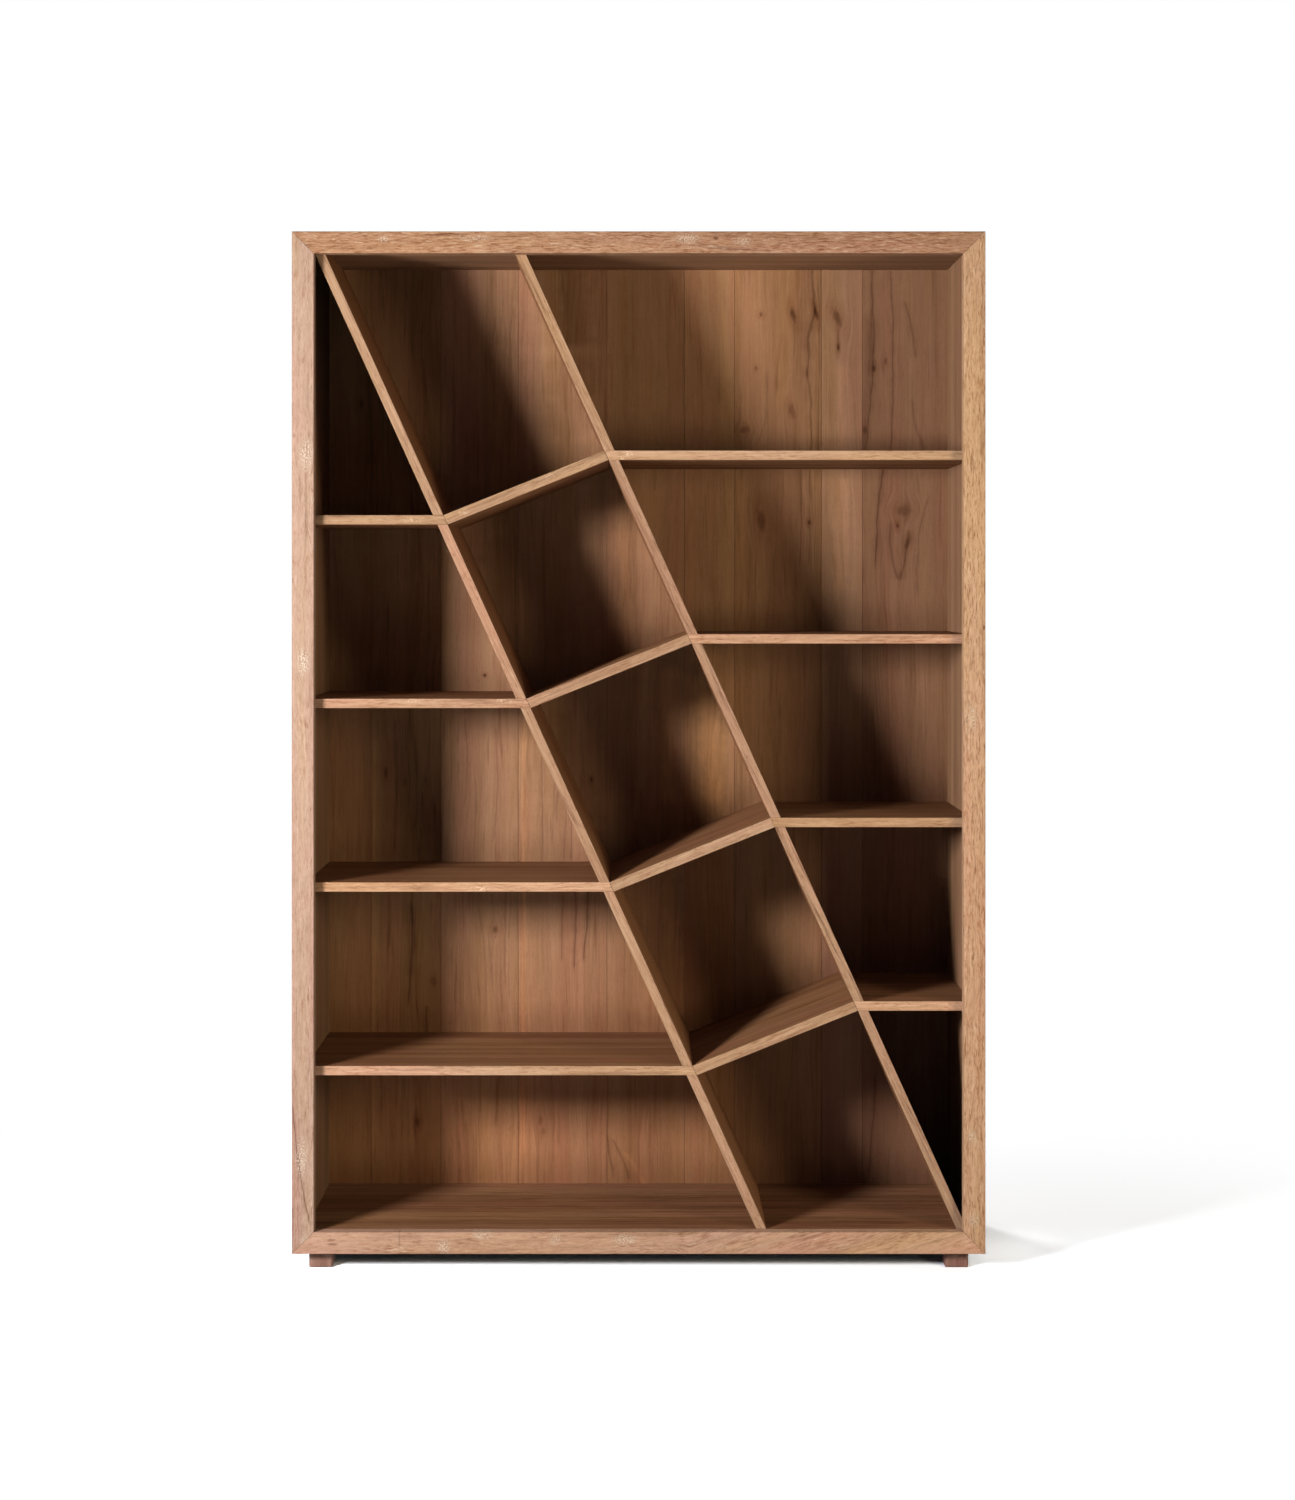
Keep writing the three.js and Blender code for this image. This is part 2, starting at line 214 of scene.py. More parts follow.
lamp("key lamp", (-2.45, -2.62, 1.54), (-0.1, 0, 1.1), 0.70, 0.60, 125)
lamp("side lamp", (2.80, -2.75, 1.40), (0, 0, 1.1), 1.05, 1.1, 48, (1, 0.88, 0.66))
lamp("back lamp left", (-2.6, 4.2, 2.8), (0, 0.2, 1.0), 1.2, 1.2, 105)
lamp("back lamp right", (2.6, 4.2, 2.4), (0, 0.2, 1.0), 1.2, 1.2, 90)
lamp("top lamp", (0.2, 0.9, 4.6), (0, 0.2, 2.0), 1.2, 1.2, 45)


# The face frame: two stiles and two rails of reclaimed teak, 44 mm wide and 25 mm
# thick, mitred at the corners and glued to the front edges of the carcass. Old sawn
# faces are only brushed, so open grain, scuffs and small knots still show.
def noise(tree, vector, along, across, detail=2.0, roughness=0.5, shift=0.0):
    """Noise drawn out along the grain; along and across are its marks per metre."""
    stretch = (along, across, across)
    stretched = reckon_vector(tree, "MULTIPLY_ADD", vector, stretch, (shift, shift, shift))
    made = shader_node(
        tree,
        "ShaderNodeTexNoise",
        {"Vector": stretched, "Scale": 1.0, "Detail": detail, "Roughness": roughness},
    )
    return made.outputs


def new_group(name, takes, gives):
    """A shader group with named inputs and outputs, and the sockets inside it."""
    group = bpy.data.node_groups.new(name, "ShaderNodeTree")
    for label, kind, value in takes:
        socket = group.interface.new_socket(
            label, in_out="INPUT", socket_type="NodeSocket" + kind
        )
        socket.default_value = value
    for label, kind in gives:
        group.interface.new_socket(label, in_out="OUTPUT", socket_type="NodeSocket" + kind)
    inside = group.nodes.new("NodeGroupInput").outputs
    outside = group.nodes.new("NodeGroupOutput").inputs
    return group, inside, outside


def placed_group(tree, group, plugs):
    """One copy of a shader group in a material, and its outputs."""
    return shader_node(tree, "ShaderNodeGroup", plugs, node_tree=group).outputs


def vector_of(tree, x, y, z):
    """A vector with this X, Y and Z."""
    return shader_node(tree, "ShaderNodeCombineXYZ", {0: x, 1: y, 2: z}).outputs[0]


def tinted(tree, mask, colour, tint):
    """The colour multiplied by a tint where the mask is 1."""
    return blended(tree, mask, colour, blended(tree, 1.0, colour, tint, "MULTIPLY"))


def pushed(tree, grain, along=0.0, across=0.0):
    """The grain coordinates pushed along and across the board."""
    return reckon_vector(tree, "ADD", grain, vector_of(tree, along, across, 0.0))


longest_slide = 9.7


def moved_grain(tree, grain, seed):
    """The grain coordinates of a board, slid far off so that its figure is its own."""
    slide = reckon(tree, "MULTIPLY", seed, longest_slide)
    return pushed(tree, grain, slide, slide)


def wavering(tree, grain, along, across, waver):
    """The grain coordinates pushed sideways by slow noise, so that no line is ruled."""
    drift = noise(tree, grain, along, across, 2.0)["Color"]
    centred = reckon_vector(tree, "SUBTRACT", drift, (0.5, 0.5, 0.5))
    sideways = vector_of(tree, 0.0, waver, waver)
    return reckon_vector(tree, "MULTIPLY_ADD", centred, sideways, grain)


streak_tint = (0.50, 0.44, 0.42, 1)
pore_tint = (0.48, 0.38, 0.34, 1)
teak_group, inside, outside = new_group(
    "teak",
    [
        ("Grain", "Vector", (0, 0, 0)),
        ("Tone", "Vector", (0, 1, 0)),
        ("Pale", "Color", (0.6, 0.4, 0.25, 1)),
        ("Deep", "Color", (0.3, 0.17, 0.09, 1)),
        ("Rosy", "Color", (1.02, 0.94, 0.97, 1)),
        ("Honey", "Color", (0.99, 0.98, 0.89, 1)),
        ("Ring Width", "Float", 0.014),
        ("Waver", "Float", 0.02),
        ("Ring Depth", "Float", 0.25),
        ("Fibre Depth", "Float", 0.4),
        ("Band Depth", "Float", 0.8),
        ("Streak Depth", "Float", 0.2),
        ("Mottle Depth", "Float", 0.2),
        ("Pore Depth", "Float", 0.3),
    ],
    [("Colour", "Color"), ("Height", "Float"), ("Dryness", "Float")],
)
tree = teak_group
tone = axes(tree, inside["Tone"])
grain = moved_grain(tree, inside["Grain"], tone[0])
warped = wavering(tree, grain, 1.7, 11.0, inside["Waver"])
warped = wavering(tree, warped, 8.0, 34.0, 0.007)
radius = reckon_vector(tree, "LENGTH", reckon_vector(tree, "MULTIPLY", warped, (0, 1, 1)))
years = reckon(tree, "DIVIDE", radius, inside["Ring Width"])
uneven = noise(tree, warped, 0.9, 26.0, 3.0)[0]
years = reckon(tree, "MULTIPLY_ADD", uneven, 9.0, years)
season = reckon(tree, "FRACT", years)
late_wood = reckon(
    tree, "MULTIPLY", ramp(tree, season, 0.1, 0.85), ramp(tree, season, 1.0, 0.85)
)
faint = ramp(tree, noise(tree, warped, 0.8, 12.0, 1.0, 0.5, 2.0)[0], 0.4, 0.65)
late_wood = reckon(tree, "MULTIPLY", late_wood, faint)
fibre = noise(tree, warped, 6.5, 230.0, 4.0, 0.65)[0]
bands = noise(tree, warped, 0.5, 22.0, 5.0, 0.62, 5.0)[0]
hue = noise(tree, warped, 0.9, 13.0, 3.0, 0.6, 11.0)[0]
streaks = ramp(tree, noise(tree, warped, 4.5, 95.0, 3.0, 0.6, 3.0)[0], 0.54, 0.72)
mottle = noise(tree, warped, 26.0, 60.0, 3.0, 0.6, 9.0)[0]
pores = ramp(tree, noise(tree, warped, 95.0, 1000.0, 2.0, 0.6, 7.0)[0], 0.56, 0.72)
ring_pull = reckon(tree, "MULTIPLY", inside["Ring Depth"], -1.0)
value = reckon(tree, "MULTIPLY_ADD", late_wood, ring_pull, 0.5)
for mark, depth, spread in (
    (fibre, "Fibre Depth", 2.0),
    (bands, "Band Depth", 2.6),
    (mottle, "Mottle Depth", 2.0),
):
    swing = reckon(tree, "MULTIPLY_ADD", mark, spread, -spread / 2)
    value = reckon(tree, "MULTIPLY_ADD", swing, inside[depth], value)
value = reckon(tree, "ADD", value, 0.0, clamped=True)
colour = blended(tree, value, inside["Deep"], inside["Pale"])
rosiness = reckon(tree, "ADD", ramp(tree, hue, 0.46, 0.64), tone[2], clamped=True)
colour = tinted(tree, rosiness, colour, inside["Rosy"])
colour = tinted(tree, ramp(tree, hue, 0.5, 0.34), colour, inside["Honey"])
streaking = reckon(tree, "MULTIPLY", streaks, inside["Streak Depth"], clamped=True)
colour = tinted(tree, streaking, colour, streak_tint)
poring = reckon(tree, "MULTIPLY", pores, inside["Pore Depth"], clamped=True)
colour = tinted(tree, poring, colour, pore_tint)
colour = blended(tree, 1.0, colour, tone[1], "MULTIPLY")
pitting = reckon(tree, "MULTIPLY", poring, -1.0)
height = reckon(tree, "MULTIPLY_ADD", fibre, 0.5, pitting)
tree.links.new(colour, outside["Colour"])
tree.links.new(height, outside["Height"])
tree.links.new(poring, outside["Dryness"])


def figured(tree, grain, tone, pale, deep, settings):
    """The figure of a teak board between two colours, its other settings by name."""
    plugs = dict(settings, Grain=grain, Tone=tone, Pale=pale, Deep=deep)
    return placed_group(tree, teak_group, plugs)


open_grain_group, inside, outside = new_group(
    "open grain",
    [
        ("Grain", "Vector", (0, 0, 0)),
        ("Seed", "Float", 0.0),
        ("Cover", "Float", 0.5),
    ],
    [("Gouged", "Float"), ("Bleached", "Float")],
)
tree = open_grain_group
grain = moved_grain(tree, inside["Grain"], inside["Seed"])
warped = wavering(tree, grain, 14.0, 30.0, 0.016)
cells = noise(tree, warped, 40.0, 350.0, 3.0, 0.62, 1.0)[0]
clusters = noise(tree, warped, 9.0, 26.0, 2.0, 0.5, 6.0)[0]
patches = reckon(tree, "MULTIPLY_ADD", inside["Cover"], 0.5, clusters)
crowded = ramp(tree, patches, 0.54, 0.84, 0.06, 1.0)
gouged = reckon(tree, "MULTIPLY", ramp(tree, cells, 0.52, 0.64), crowded)
bleached = reckon(tree, "MULTIPLY", ramp(tree, cells, 0.42, 0.30), crowded)
tree.links.new(gouged, outside["Gouged"])
tree.links.new(bleached, outside["Bleached"])


vein_group, inside, outside = new_group(
    "vein",
    [
        ("Place", "Vector", (0, 0, 0)),
        ("Top Across", "Float", 0.0),
        ("Top Height", "Float", 0.0),
        ("Foot Across", "Float", 0.0),
        ("Foot Height", "Float", 0.0),
        ("Bow", "Float", 0.0),
        ("Width", "Float", 0.002),
        ("Darkness", "Float", 0.6),
        ("Curl", "Float", 0.014),
    ],
    [("Mask", "Float")],
)
tree = vein_group
spot = axes(tree, inside["Place"])
tall = reckon(tree, "SUBTRACT", inside["Top Height"], inside["Foot Height"])
risen = reckon(tree, "SUBTRACT", spot["Z"], inside["Foot Height"])
share = reckon(tree, "DIVIDE", risen, tall, clamped=True)
swing = reckon(tree, "SINE", reckon(tree, "MULTIPLY", share, math.pi))
across = reckon(tree, "SUBTRACT", inside["Top Across"], inside["Foot Across"])
line = reckon(tree, "MULTIPLY_ADD", across, share, inside["Foot Across"])
line = reckon(tree, "MULTIPLY_ADD", swing, inside["Bow"], line)
along_line = vector_of(tree, inside["Top Across"], 0.0, spot["Z"])
curl = reckon(tree, "SUBTRACT", noise(tree, along_line, 40.0, 11.0, 3.0)[0], 0.5)
line = reckon(tree, "MULTIPLY_ADD", curl, inside["Curl"], line)
apart = reckon(tree, "ABSOLUTE", reckon(tree, "SUBTRACT", spot["X"], line))
thickness = noise(tree, along_line, 90.0, 28.0, 2.0, 0.5, 4.0)[0]
thickness = reckon(tree, "MULTIPLY_ADD", thickness, 2.4, -0.2)
apart = reckon(tree, "DIVIDE", apart, reckon(tree, "MULTIPLY", inside["Width"], thickness))
core = ramp(tree, apart, 1.1, 0.2)
halo = ramp(tree, apart, 4.0, 0.6, 0.0, 0.3)
body = reckon(tree, "MAXIMUM", core, halo)
ends = reckon(tree, "MULTIPLY", swing, 4.0, clamped=True)
mask = reckon(tree, "MULTIPLY", reckon(tree, "MULTIPLY", body, ends), inside["Darkness"])
tree.links.new(mask, outside["Mask"])


def oval_reach(tree, inside, off_across, off_height):
    """How far out in an oval mark a point lies: 0 in its middle and 1 at its rim."""
    reach = 0.0
    for off, half in ((off_across, "Half Width"), (off_height, "Half Height")):
        share = reckon(tree, "DIVIDE", off, inside[half])
        reach = reckon(tree, "MULTIPLY_ADD", share, share, reach)
    return reckon(tree, "SQRT", reach)


knot_group, inside, outside = new_group(
    "knot",
    [
        ("Place", "Vector", (0, 0, 0)),
        ("Across", "Float", 0.0),
        ("Height", "Float", 0.0),
        ("Half Width", "Float", 0.005),
        ("Half Height", "Float", 0.01),
        ("Darkness", "Float", 0.8),
        ("Lean", "Float", 0.0),
    ],
    [("Inside", "Float"), ("Around", "Float"), ("Shove", "Float")],
)
tree = knot_group
spot = axes(tree, inside["Place"])
off_height = reckon(tree, "SUBTRACT", spot["Z"], inside["Height"])
lean = reckon(tree, "MULTIPLY_ADD", off_height, inside["Lean"], inside["Across"])
off_across = reckon(tree, "SUBTRACT", spot["X"], lean)
reach = oval_reach(tree, inside, off_across, off_height)
ripple = noise(tree, inside["Place"], 120.0, 55.0, 2.0)[0]
ragged = reckon(tree, "ADD", ripple, reckon(tree, "SUBTRACT", reach, 0.5))
core = reckon(tree, "MULTIPLY", ramp(tree, ragged, 1.1, 0.3), inside["Darkness"])
around = reckon(tree, "MULTIPLY", ramp(tree, reach, 2.8, 0.7), inside["Darkness"])
shove = reckon(tree, "MULTIPLY", off_across, ramp(tree, reach, 3.5, 0.3, 0.0, -0.7))
tree.links.new(core, outside["Inside"])
tree.links.new(around, outside["Around"])
tree.links.new(shove, outside["Shove"])


scuff_group, inside, outside = new_group(
    "scuff",
    [
        ("Place", "Vector", (0, 0, 0)),
        ("Across", "Float", 0.0),
        ("Height", "Float", 0.0),
        ("Half Width", "Float", 0.01),
        ("Half Height", "Float", 0.01),
        ("Strength", "Float", 0.6),
    ],
    [("Mask", "Float")],
)
tree = scuff_group
spot = axes(tree, inside["Place"])
off_across = reckon(tree, "SUBTRACT", spot["X"], inside["Across"])
off_height = reckon(tree, "SUBTRACT", spot["Z"], inside["Height"])
reach = oval_reach(tree, inside, off_across, off_height)
crumbs = ramp(tree, noise(tree, inside["Place"], 340.0, 270.0, 2.0, 0.7)[0], 0.49, 0.58)
mask = reckon(tree, "MULTIPLY", ramp(tree, reach, 1.2, 0.3), crumbs)
mask = reckon(tree, "MULTIPLY", mask, inside["Strength"])
tree.links.new(mask, outside["Mask"])


def input_names(group):
    """The names of a group's inputs, in their order."""
    return [item.name for item in group.interface.items_tree if item.in_out == "INPUT"]


def placed_marks(tree, place, group, rows):
    """One copy of a mark's group for each row of its inputs after Place."""
    made = []
    for row in rows:
        plugs = dict(zip(input_names(group)[1:], row), Place=place)
        made.append(placed_group(tree, group, plugs))
    return made


def laid_marks(tree, colour, place, group, result, rows, tint):
    """The colour, tinted at one mark for each row of sizes."""
    for mark in placed_marks(tree, place, group, rows):
        colour = tinted(tree, mark[result], colour, tint)
    return colour


chalky = (0.80, 0.69, 0.55, 1)


def scuffed(tree, colour, place, rows):
    """The colour with a pale scuff for each row of sizes."""
    for mark in placed_marks(tree, place, scuff_group, rows):
        colour = blended(tree, mark["Mask"], colour, chalky)
    return colour


# Eased arrises are darkened towards this tint.
dark_arris_tint = (0.45, 0.38, 0.34, 1)
edge_tint_group, inside, outside = new_group(
    "sanded fronts and dark arrises",
    [
        ("Colour", "Color", white),
        ("Sanded", "Color", white),
        ("Front", "Float", 0.0),
        ("Arris", "Float", 0.0),
    ],
    [("Colour", "Color")],
)
tree = edge_tint_group
paler = blended(tree, 1.0, inside["Sanded"], inside["Front"], "MULTIPLY")
at_front = reckon(tree, "GREATER_THAN", inside["Front"], 0.01)
colour = tinted(tree, at_front, inside["Colour"], paler)
colour = tinted(tree, inside["Arris"], colour, dark_arris_tint)
tree.links.new(colour, outside["Colour"])


def kept(tree, name):
    """What the mesh of a board keeps under a name, such as its grain or worn arrises."""
    return shader_node(tree, "ShaderNodeAttribute", attribute_name=name).outputs


def new_teak(name):
    """A bare material, its tree, and where its wood lies: grain, tone and place."""
    made = bpy.data.materials.new(name)
    tree = bare_tree(made)
    grain = kept(tree, "grain")["Vector"]
    tone = kept(tree, "tone")["Vector"]
    place = tree.nodes.new("ShaderNodeTexCoord").outputs["Object"]
    return made, tree, grain, tone, place


bounce_tint = (0.32, 0.365, 0.44, 1)


def teak_surface(tree, colour, wood, matt=0.6, sanded=white):
    """The matt surface of a teak board from its colour and figure.

    The front edges are sanded paler than the faces. Light that one board throws on
    another is held down, because the shadows in the bays are deep.
    """
    worn = placed_group(
        tree,
        edge_tint_group,
        {
            "Colour": colour,
            "Sanded": sanded,
            "Front": kept(tree, "front")["Fac"],
            "Arris": kept(tree, "arris")["Fac"],
        },
    )
    bounced = tree.nodes.new("ShaderNodeLightPath").outputs["Is Diffuse Ray"]
    colour = tinted(tree, bounced, worn["Colour"], bounce_tint)
    relief = {"Height": wood["Height"], "Strength": 0.35, "Distance": 0.0006}
    bump = shader_node(tree, "ShaderNodeBump", relief)
    roughness = ramp(tree, wood["Dryness"], 0, 1, matt - 0.05, matt + 0.2)
    surface = shader_node(
        tree,
        "ShaderNodeBsdfPrincipled",
        {
            "Base Color": colour,
            "Roughness": roughness,
            "Normal": bump.outputs[0],
            "Specular IOR Level": 0.06,
        },
    )
    shader_node(tree, "ShaderNodeOutputMaterial", {"Surface": surface.outputs[0]})


weld_distance = 0.00002
flat_angle = math.radians(0.5)
sharp_angle = 0.3
facing_front = -0.3
face_depth = 0.002
heart_aside = 0.06
heart_depth = (0.04, 0.12)


def dressed_board(node, along, across, tone, finish, eased):
    """A copy of a CAD board with its faces whole and its arrises eased.

    tone holds the lightness of the board, its rosiness and the lightness of its front edge.
    eased is a list of rows: a test that picks edges by their two ends, the width of the ease,
    and how dark the eased arris is made. The grain runs along, about a heart of its own.
    """
    luck = random.Random(node)
    shape = bmesh.new()
    shape.from_mesh(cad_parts[node].data)
    bmesh.ops.remove_doubles(shape, verts=shape.verts, dist=weld_distance)
    bmesh.ops.dissolve_limit(
        shape, angle_limit=flat_angle, verts=shape.verts, edges=shape.edges
    )
    arris = shape.faces.layers.float.new("arris")
    for picks, width, arris_darkness in eased:
        edges = [
            edge
            for edge in shape.edges
            if len(edge.link_faces) == 2
            and edge.calc_face_angle() > sharp_angle
            and picks(edge.verts[0].co, edge.verts[1].co)
        ]
        made = bmesh.ops.bevel(
            shape,
            geom=edges,
            offset=width,
            affect="EDGES",
            segments=2,
            profile=0.5,
            material=-1,
        )
        for face in made["faces"]:
            face[arris] = arris_darkness
    mesh = bpy.data.meshes.new(node + "_board")
    shape.to_mesh(mesh)
    shape.free()
    lowest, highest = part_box(node)
    along = Vector(along).normalized()
    across = Vector(across).normalized()
    through = along.cross(across)
    heart = (lowest + highest) / 2
    heart = heart + across * luck.uniform(-heart_aside, heart_aside)
    heart = heart + through * luck.choice((-1, 1)) * luck.uniform(*heart_depth)
    grain = mesh.attributes.new("grain", "FLOAT_VECTOR", "POINT")
    for vertex, value in zip(mesh.vertices, grain.data):
        reach = vertex.co - heart
        value.vector = (reach.dot(along), reach.dot(across), reach.dot(through))
    seed = luck.random()
    shade = mesh.attributes.new("tone", "FLOAT_VECTOR", "FACE")
    for value in shade.data:
        value.vector = (seed, tone[0], tone[1])
    front = mesh.attributes.new("front", "FLOAT", "FACE")
    for face, value in zip(mesh.polygons, front.data):
        turned = face.normal.y < facing_front
        at_front = turned and face.center.y < lowest.y + face_depth
        value.value = tone[2] if at_front else 0.0
    mesh.materials.append(finish)
    board = bpy.data.objects.new(node + "_board", mesh)
    scene.collection.objects.link(board)
    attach(board, "root")
    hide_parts(node)


hair = 0.0002
frame_lowest, frame_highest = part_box("frame_stile_left")
frame_left = frame_lowest.x
frame_front = frame_lowest.y
frame_foot = frame_lowest.z
frame_top = frame_highest.z
frame_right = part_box("frame_stile_right")[1].x


def on_show_face(first, last):
    """Whether an edge lies on the front of the face frame."""
    return max(first.y, last.y) < frame_front + hair


def outside_edge(first, last):
    """Picks the edges round the outside of the face frame."""
    at_side = max(first.x, last.x) < frame_left + hair
    at_side = at_side or min(first.x, last.x) > frame_right - hair
    at_end = max(first.z, last.z) < frame_foot + hair
    at_end = at_end or min(first.z, last.z) > frame_top - hair
    return on_show_face(first, last) and (at_side or at_end)


def mitre_edge(first, last):
    """Picks the slanting edges where the frame's corners meet."""
    slanting = abs(first.x - last.x) > hair and abs(first.z - last.z) > hair
    return on_show_face(first, last) and slanting


def opening_edge(first, last):
    """Picks the edges round the opening of the face frame."""
    others = outside_edge(first, last) or mitre_edge(first, last)
    return on_show_face(first, last) and not others


smear_group, inside, outside = new_group(
    "smears",
    [("Grain", "Vector", (0, 0, 0)), ("Seed", "Float", 0.0), ("Strength", "Float", 0.6)],
    [("Ruddy", "Float"), ("Creamy", "Float")],
)
tree = smear_group
slid = moved_grain(tree, inside["Grain"], inside["Seed"])
slid = wavering(tree, slid, 16.0, 34.0, 0.02)
smears = noise(tree, slid, 34.0, 240.0, 4.0, 0.7)[0]
for name, start, end in (("Ruddy", 0.52, 0.66), ("Creamy", 0.47, 0.35)):
    mask = reckon(tree, "MULTIPLY", ramp(tree, smears, start, end), inside["Strength"])
    tree.links.new(mask, outside[name])


gouged_tint = (0.56, 0.45, 0.38, 1)
bleached_fleck = (0.86, 0.70, 0.52, 1)
ruddy_tint = (0.72, 0.56, 0.47, 1)
creamy_tint = (1.14, 1.19, 1.24, 1)
dark_mark = (0.34, 0.24, 0.18, 1)


def frame_finish(
    name, pale, deep, cover, streaks, smear, knots=(), cracks=(), scuffs=(),
    slope=0.0, far_tint=white,
):
    """The brushed old teak of one board of the face frame, with its own marks.

    Through the right half of a rail the grain runs out at a slope, and the wood takes
    far_tint.
    """
    finish, tree, grain, tone, place = new_teak(f"frame teak {name}")
    spot = axes(tree, place)
    past = reckon(tree, "MAXIMUM", reckon(tree, "SUBTRACT", spot["X"], 0.1), 0.0)
    grain = pushed(tree, grain, across=reckon(tree, "MULTIPLY", past, -slope))
    wood = figured(
        tree, grain, tone, pale, deep,
        {
            "Waver": 0.03,
            "Fibre Depth": 0.6,
            "Band Depth": 0.6,
            "Streak Depth": streaks,
            "Pore Depth": 0.5,
        },
    )
    seed = axes(tree, tone)[0]
    worn = placed_group(
        tree, open_grain_group, {"Grain": grain, "Seed": seed, "Cover": cover}
    )
    gouges = reckon(tree, "MULTIPLY", worn["Gouged"], 0.85)
    colour = tinted(tree, gouges, wood["Colour"], gouged_tint)
    flecks = reckon(tree, "MULTIPLY", worn["Bleached"], 0.5)
    colour = blended(tree, flecks, colour, bleached_fleck)
    smears = placed_group(
        tree, smear_group, {"Grain": grain, "Seed": seed, "Strength": smear}
    )
    colour = tinted(tree, smears["Ruddy"], colour, ruddy_tint)
    colour = tinted(tree, smears["Creamy"], colour, creamy_tint)
    colour = tinted(tree, ramp(tree, spot["X"], 0.0, 0.55), colour, far_tint)
    colour = laid_marks(tree, colour, place, vein_group, "Mask", cracks, dark_mark)
    colour = laid_marks(tree, colour, place, knot_group, "Inside", knots, dark_mark)
    colour = scuffed(tree, colour, place, scuffs)
    teak_surface(tree, colour, wood, matt=0.7)
    return finish


upward = (0, 0, 1)
rightward = (1, 0, 0)
backward = (0, 1, 0)
frame_boards = {
    "frame_stile_left": frame_finish(
        "left stile", (0.635, 0.43, 0.325, 1), (0.47, 0.30, 0.215, 1), 0.15, 0.4, 0.6,
        knots=((-0.695, 1.688, 0.004, 0.006, 0.4),),
        cracks=((-0.698, 0.345, -0.662, 0.090, -0.006, 0.0014, 0.8),),
        scuffs=(
            (-0.677, 1.232, 0.014, 0.032, 0.9),
            (-0.671, 1.649, 0.016, 0.040, 0.7),
            (-0.681, 0.230, 0.014, 0.046, 0.8),
            (-0.667, 0.060, 0.018, 0.016, 0.7),
        ),
    ),
    "frame_stile_right": frame_finish(
        "right stile", (0.785, 0.50, 0.321, 1), (0.59, 0.34, 0.187, 1), 0.55, 0.6, 0.8,
        knots=((0.697, 1.300, 0.003, 0.006, 0.9),),
        scuffs=(
            (0.673, 0.270, 0.012, 0.018, 0.6),
            (0.677, 0.104, 0.014, 0.016, 0.7),
            (0.672, 1.120, 0.016, 0.034, 0.6),
        ),
    ),
    "frame_rail_top": frame_finish(
        "top rail", (0.625, 0.355, 0.225, 1), (0.41, 0.215, 0.122, 1), 0.7, 0.8, 0.9,
        knots=((0.156, 2.086, 0.008, 0.005, 0.8),),
        scuffs=(
            (0.098, 2.086, 0.030, 0.011, 0.8),
            (0.210, 2.080, 0.022, 0.010, 0.6),
            (-0.515, 2.084, 0.014, 0.008, 0.7),
            (-0.330, 2.086, 0.040, 0.008, 0.5),
        ),
    ),
    "frame_rail_bottom": frame_finish(
        "bottom rail", (0.67, 0.405, 0.285, 1), (0.51, 0.29, 0.195, 1), 0.3, 0.5, 0.6,
        knots=(
            (-0.620, 0.064, 0.012, 0.004, 0.6),
            (-0.618, 0.056, 0.014, 0.004, 0.6),
        ),
        cracks=((-0.483, 0.112, -0.483, 0.048, 0.000, 0.0010, 0.5, 0.001),),
        scuffs=(
            (-0.394, 0.050, 0.014, 0.018, 0.8),
            (-0.316, 0.074, 0.024, 0.012, 0.7),
            (-0.168, 0.064, 0.014, 0.012, 0.6),
            (-0.029, 0.066, 0.028, 0.012, 0.8),
        ),
        slope=0.28,
        far_tint=(1.21, 1.25, 1.15, 1),
    ),
}
for node, finish in frame_boards.items():
    stile = "stile" in node
    dressed_board(
        node,
        upward if stile else rightward,
        rightward if stile else upward,
        (1.0, 0.0, 1.0),
        finish,
        [(outside_edge, 0.0010, 0.7), (opening_edge, 0.0006, 0.2), (mitre_edge, 0.0003, 0.4)],
    )


# The carcass: two sides and a top mitred together, and a bottom board housed between
# the sides. They are edge-glued teak, 25 mm thick, planed smooth and oiled.
case_back = cad_highest[1]


def back_arris(first, last):
    """Picks the edges of a board that lie on the back of the case."""
    return min(first.y, last.y) > case_back - hair


glue_line = -0.030
next_stave = 4.3
pale_glue = (1.45, 1.45, 1.40, 1)
glue_group, inside, outside = new_group(
    "glue line", [("Depth", "Float", 0.0)], [("Shift", "Float"), ("Mask", "Float")]
)
tree = glue_group
behind = reckon(tree, "GREATER_THAN", inside["Depth"], glue_line)
apart = reckon(tree, "ABSOLUTE", reckon(tree, "SUBTRACT", inside["Depth"], glue_line))
tree.links.new(reckon(tree, "MULTIPLY", behind, next_stave), outside["Shift"])
tree.links.new(ramp(tree, apart, 0.0035, 0.0008), outside["Mask"])


def edge_glued(tree, grain, place):
    """Where a board is glued up from two staves: the grain, and a mask of the joint."""
    glue = placed_group(tree, glue_group, {"Depth": axes(tree, place)["Y"]})
    return pushed(tree, grain, glue["Shift"]), glue["Mask"]


def carcass_teak(name, pale, deep, band, streaks):
    """Planed teak for the carcass, glued up from two staves."""
    finish, tree, grain, tone, place = new_teak(name)
    grain, joint = edge_glued(tree, grain, place)
    wood = figured(
        tree, grain, tone, pale, deep, {"Band Depth": band, "Streak Depth": streaks}
    )
    glue = reckon(tree, "MULTIPLY", joint, 0.7)
    colour = tinted(tree, glue, wood["Colour"], pale_glue)
    teak_surface(tree, colour, wood)
    return finish


